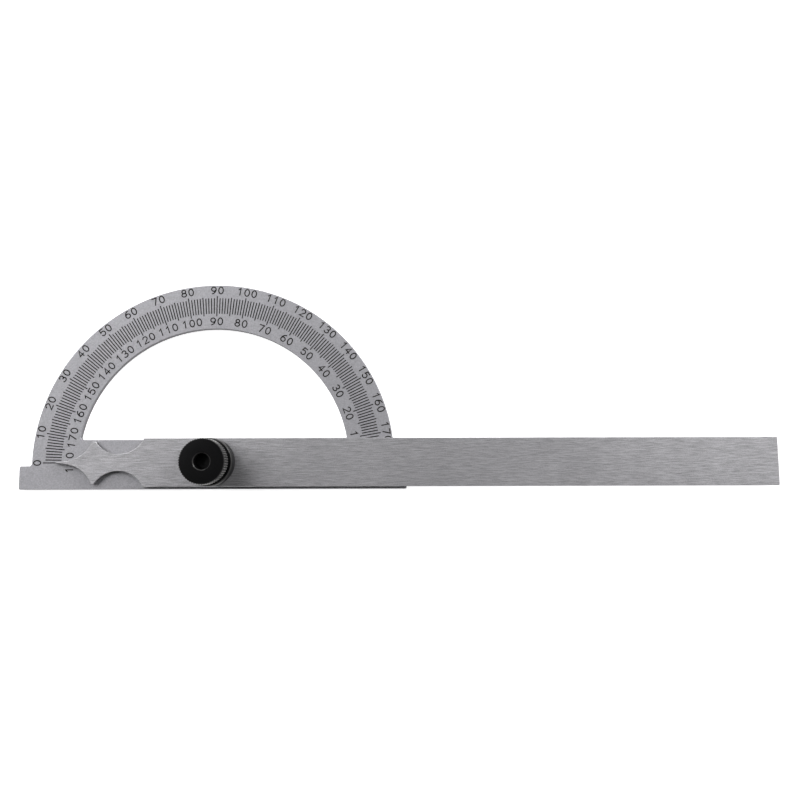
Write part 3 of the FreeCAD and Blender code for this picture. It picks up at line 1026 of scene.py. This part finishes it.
@dataclass
class KnurledNut:
    """The black clamping nut: plain collar, groove, knurled head and tapped bore."""

    low: Vector
    high: Vector
    collar_radius: float = 9.75 * MM
    collar_height: float = 6.3 * MM
    groove_height: float = 3.6 * MM
    neck_radius: float = 7.0 * MM
    head_radius: float = 9.2 * MM
    bevel: float = 0.45 * MM
    mouth_bevel: float = 0.5 * MM
    rounding: float = 0.12 * MM
    teeth: int = 57
    tooth_depth: float = 0.42 * MM
    columns_per_tooth: int = 6
    crest_share: float = 0.15
    thread: ScrewThread = field(default_factory=ScrewThread)

    def mouth_radius(self) -> float:
        """Return the radius of the bore where it meets the nut's flat faces."""
        return self.thread.root_radius + self.thread.clearance + self.mouth_bevel

    def outside(self) -> list[Point]:
        """Return the outer profile's corners, from the lower to the upper bore mouth."""
        base, top = self.low.z, self.high.z
        collar_top = base + self.collar_height
        head_low = collar_top + self.groove_height
        mouth = self.mouth_radius()
        return [
            (mouth, base),
            (self.collar_radius - self.bevel, base),
            (self.collar_radius, base + self.bevel),
            (self.collar_radius, collar_top - self.bevel),
            (self.collar_radius - self.bevel, collar_top),
            (self.neck_radius, collar_top),
            (self.neck_radius, head_low),
            (self.head_radius - self.bevel, head_low),
            (self.head_radius, head_low + self.bevel),
            (self.head_radius, top - self.bevel),
            (self.head_radius - self.bevel, top),
            (mouth, top),
        ]

    def bore(self, angles: np.ndarray) -> list[Ring]:
        """Return the rings of the tapped bore, from the top down."""
        mouth = self.mouth_radius()
        rings: list[Ring] = []
        for height in reversed(self.thread.heights(self.low.z, self.high.z)):
            wall = self.thread.radius(angles, height) + self.thread.clearance
            depth = min(height - self.low.z, self.high.z - height)
            rings.append((np.maximum(wall, mouth - depth), height))
        return rings[1:-1]

    def knurl_tree(self) -> NodeTree:
        """Build the tree that presses the furrows of the knurl into the head."""
        inputs = {"Teeth": ("Float", float(self.teeth)), "Depth": ("Float", self.tooth_depth)}
        inputs["Head Radius"] = ("Float", self.head_radius)
        inputs["Head Bottom"] = ("Float", 0.0)
        inputs["Crest Share"] = ("Float", self.crest_share)
        inputs["Material"] = ("Material", None)
        sheet, given, made = new_tree("nut_knurl", inputs)
        x, y, height = sheet.parts(sheet.add("GeometryNodeInputPosition").outputs[0])
        radius = sheet.radius(x, y)
        turns = sheet.maths("DIVIDE", sheet.maths("ARCTAN2", y, x), 2 * math.pi)
        wave = sheet.maths("PINGPONG", sheet.times(turns, given["Teeth"]), 0.5)
        crest = given["Crest Share"]
        past_crest = sheet.maths("SUBTRACT", sheet.times(wave, 2.0), crest)
        flank = sheet.maths("SUBTRACT", 1.0, crest)
        depth = sheet.maths("DIVIDE", past_crest, flank, clamp=True)
        furrow = sheet.times(depth, given["Depth"])
        limit = sheet.maths("SUBTRACT", given["Head Radius"], furrow)
        share = sheet.maths("DIVIDE", sheet.maths("MINIMUM", radius, limit), radius)
        pressed_x = sheet.times(x, share)
        pressed_y = sheet.times(y, share)
        in_head = sheet.maths("GREATER_THAN", height, given["Head Bottom"])
        move = sheet.add("GeometryNodeSetPosition")
        sheet.feed(move.inputs["Geometry"], given["Geometry"])
        sheet.feed(move.inputs["Selection"], in_head)
        sheet.feed(move.inputs["Position"], sheet.joined(pressed_x, pressed_y, height))
        return end_tree(sheet, given, made, move.outputs[0])

    def build(self, finish: Material) -> Object:
        """Build the nut with its knurl and thread.

        Args:
            finish: the nut's material.

        Returns:
            The piece, in the place of the plain nut.
        """
        columns = self.teeth * self.columns_per_tooth
        angles = ring_angles(columns)
        rings = eased(self.outside(), self.rounding) + self.bore(angles)
        piece = turned_piece("knurled_nut_turned", rings, columns, hollow=True)
        head_bottom = self.low.z + self.collar_height + self.groove_height / 2
        apply_tree(piece, self.knurl_tree(), {"Head Bottom": head_bottom, "Material": finish})
        crease_sharp(piece)
        return piece


@dataclass
class PivotStud:
    """The riveted stud: flush head, shoulder for the blade and threaded end."""

    low: Vector
    high: Vector
    blade_top: float
    head_radius: float = 5.49 * MM
    shoulder_radius: float = 4.0 * MM
    head_bevel: float = 0.06 * MM
    shoulder_drop: float = 0.1 * MM
    end_bevel: float = 0.6 * MM
    relief: float = 0.35 * MM
    columns: int = 96
    thread: ScrewThread = field(default_factory=ScrewThread)

    def build(self, finish: Material) -> Object:
        """Build the stud with its thread.

        Args:
            finish: the stud's material.

        Returns:
            The piece, in the place of the plain stud.
        """
        angles = ring_angles(self.columns)
        shoulder_top = self.blade_top - self.shoulder_drop
        cone = self.head_radius - self.shoulder_radius
        base = [
            (self.head_radius - self.head_bevel, self.low.z),
            (self.head_radius, self.low.z + self.head_bevel),
            (self.shoulder_radius, self.low.z + cone),
            (self.shoulder_radius, shoulder_top),
            (self.thread.root_radius, shoulder_top),
            (self.thread.root_radius, shoulder_top + self.relief),
        ]
        rings = eased(base, self.head_bevel, 2)
        start = shoulder_top + self.relief
        for height in self.thread.heights(start, self.high.z)[1:]:
            wall = self.thread.radius(angles, height)
            cut = self.thread.crest_radius - self.end_bevel + self.high.z - height
            runout = self.thread.root_radius + (height - start)
            rings.append((np.minimum(np.minimum(wall, cut), runout), height))
        piece = turned_piece("pivot_stud_threaded", rings, self.columns, hollow=False)
        give_material(piece, finish)
        crease_sharp(piece)
        return piece


# Studio


@dataclass(frozen=True)
class Lamp:
    """A square soft light that points at the pivot."""

    name: str
    place: Triple
    size: float
    power: float

    def hang(self) -> None:
        """Hang the light."""
        data = bpy.data.lights.new(self.name, "AREA")
        data.size = self.size
        data.energy = self.power
        lamp = bpy.data.objects.new(self.name, data)
        lamp.location = self.place
        lamp.rotation_euler = (-Vector(self.place)).to_track_quat("-Z", "Y").to_euler()
        bpy.context.scene.collection.objects.link(lamp)


LAMPS = (
    Lamp("window", place=(-1.6, 1.3, 1.3), size=2.6, power=70.0),
    Lamp("fill", place=(0.95, 0.45, 0.8), size=0.6, power=5.0),
    Lamp("glint", place=(0.8, 0.75, 0.3), size=0.3, power=7.0),
)


@dataclass
class Studio:
    """A pale bench, a sky that is uneven, soft lights and the camera at the photograph's angle."""

    picture_width: float = 800.0
    sensor_width: float = 36.0
    focal_pixels: float = 742.0
    camera_place: Triple = (76.6 * MM, -8.07 * MM, 310.04 * MM)
    camera_turn: Triple = (6.273, -0.117, -0.163)
    clip_start: float = 0.01
    clip_end: float = 20.0
    floor_size: float = 6.0
    floor_colour: Colour = (0.85, 0.85, 0.85)
    floor_roughness: float = 0.9
    floor_glow: float = 0.85
    floor_drop: float = 0.02 * MM
    sky_side: Ramp = (-0.6, 0.1, 0.07, 3.4)
    sky_low: Ramp = (0.0, 0.5, 0.45, 1.0)
    sky_above: Ramp = (0.84, 0.98, 1.0, 0.3)
    sky_seen: float = 20.0

    def camera(self) -> None:
        """Set the camera."""
        data = bpy.data.cameras.new("camera")
        data.sensor_width = self.sensor_width
        data.lens = self.focal_pixels / self.picture_width * self.sensor_width
        data.clip_start = self.clip_start
        data.clip_end = self.clip_end
        camera = bpy.data.objects.new("camera", data)
        camera.location = self.camera_place
        camera.rotation_euler = [math.radians(angle) for angle in self.camera_turn]
        bpy.context.scene.collection.objects.link(camera)
        bpy.context.scene.camera = camera

    def floor(self) -> None:
        """Lay the pale bench under the tool."""
        half = self.floor_size / 2
        level = -self.floor_drop
        sides = ((-half, -half), (half, -half), (half, half), (-half, half))
        bench = new_piece("bench", [(x, y, level) for x, y in sides], [[0, 1, 2, 3]])
        material, _, shader = new_material("bench_paper")
        shader.inputs["Base Color"].default_value = with_alpha(self.floor_colour)
        shader.inputs["Emission Color"].default_value = (1.0, 1.0, 1.0, 1.0)
        shader.inputs["Emission Strength"].default_value = self.floor_glow
        shader.inputs["Roughness"].default_value = self.floor_roughness
        give_material(bench, material)

    def sky(self) -> None:
        """Set up a sky that is brighter on one side, and plain white where the camera sees it."""
        world = bpy.data.worlds.new("studio")
        world.use_nodes = True
        sheet = Sheet(world.node_tree)
        _, side, height = sheet.parts(sheet.add("ShaderNodeTexCoord").outputs["Generated"])
        sides = sheet.spread(side, *self.sky_side)
        low = sheet.spread(height, *self.sky_low)
        above = sheet.spread(height, *self.sky_above)
        light = sheet.times(sides, sheet.times(low, above))
        seen = sheet.add("ShaderNodeLightPath").outputs["Is Camera Ray"]
        backdrop = sheet.times(seen, self.sky_seen)
        background = world.node_tree.nodes["Background"]
        sheet.feed(background.inputs["Strength"], sheet.maths("MAXIMUM", light, backdrop))
        bpy.context.scene.world = world

    def build(self) -> None:
        """Set up the whole studio."""
        self.sky()
        bpy.context.scene.view_settings.view_transform = "Standard"
        self.floor()
        for lamp in LAMPS:
            lamp.hang()
        self.camera()


@dataclass
class Protractor:
    """The whole tool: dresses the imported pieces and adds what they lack."""

    frame: dict[str, Any]
    groups: FinishGroups = field(default_factory=FinishGroups)

    def dress(self, node: str, finish: MetalFinish) -> None:
        """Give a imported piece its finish."""
        piece = self.frame["nodes"][node]
        give_material(piece, finish.build(self.groups))
        LOG.info("%s dressed with %s", node, finish.name)

    def stand_for(self, piece: Object, node: str, body: str) -> None:
        """Let a piece stand for a packed one on the same body."""
        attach(piece, body)
        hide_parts(node)
        LOG.info("%s stands for %s, %d faces", piece.name, node, len(piece.data.polygons))

    def build(self) -> None:
        """Build every piece in order."""
        plate_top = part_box("head_plate")[1].z
        blade_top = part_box("blade")[1].z
        self.dress("head_plate", PLATE_STEEL)
        self.dress("blade", BLADE_STEEL)
        self.dress("clamp_washer", WASHER_STEEL)
        ink = SCALE_INK.build()
        for marks in (ScaleLines(plate_top), ScaleNumbers(plate_top)):
            piece = marks.build(ink)
            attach(piece, "head")
            LOG.info("%s rides on head, %d faces", piece.name, len(piece.data.polygons))
        stud = PivotStud(*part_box("pivot_stud"), blade_top=blade_top)
        self.stand_for(stud.build(STUD_STEEL.build(self.groups)), "pivot_stud", "head")
        nut = KnurledNut(*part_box("knurled_nut"))
        self.stand_for(nut.build(NUT_BLACK.build(self.groups)), "knurled_nut", "nut")


def main() -> None:
    """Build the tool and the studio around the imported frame."""
    logging.basicConfig(level=logging.INFO, format="%(name)s: %(message)s")
    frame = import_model()
    Protractor(frame).build()
    Studio().build()


if __name__ == "__main__":
    main()
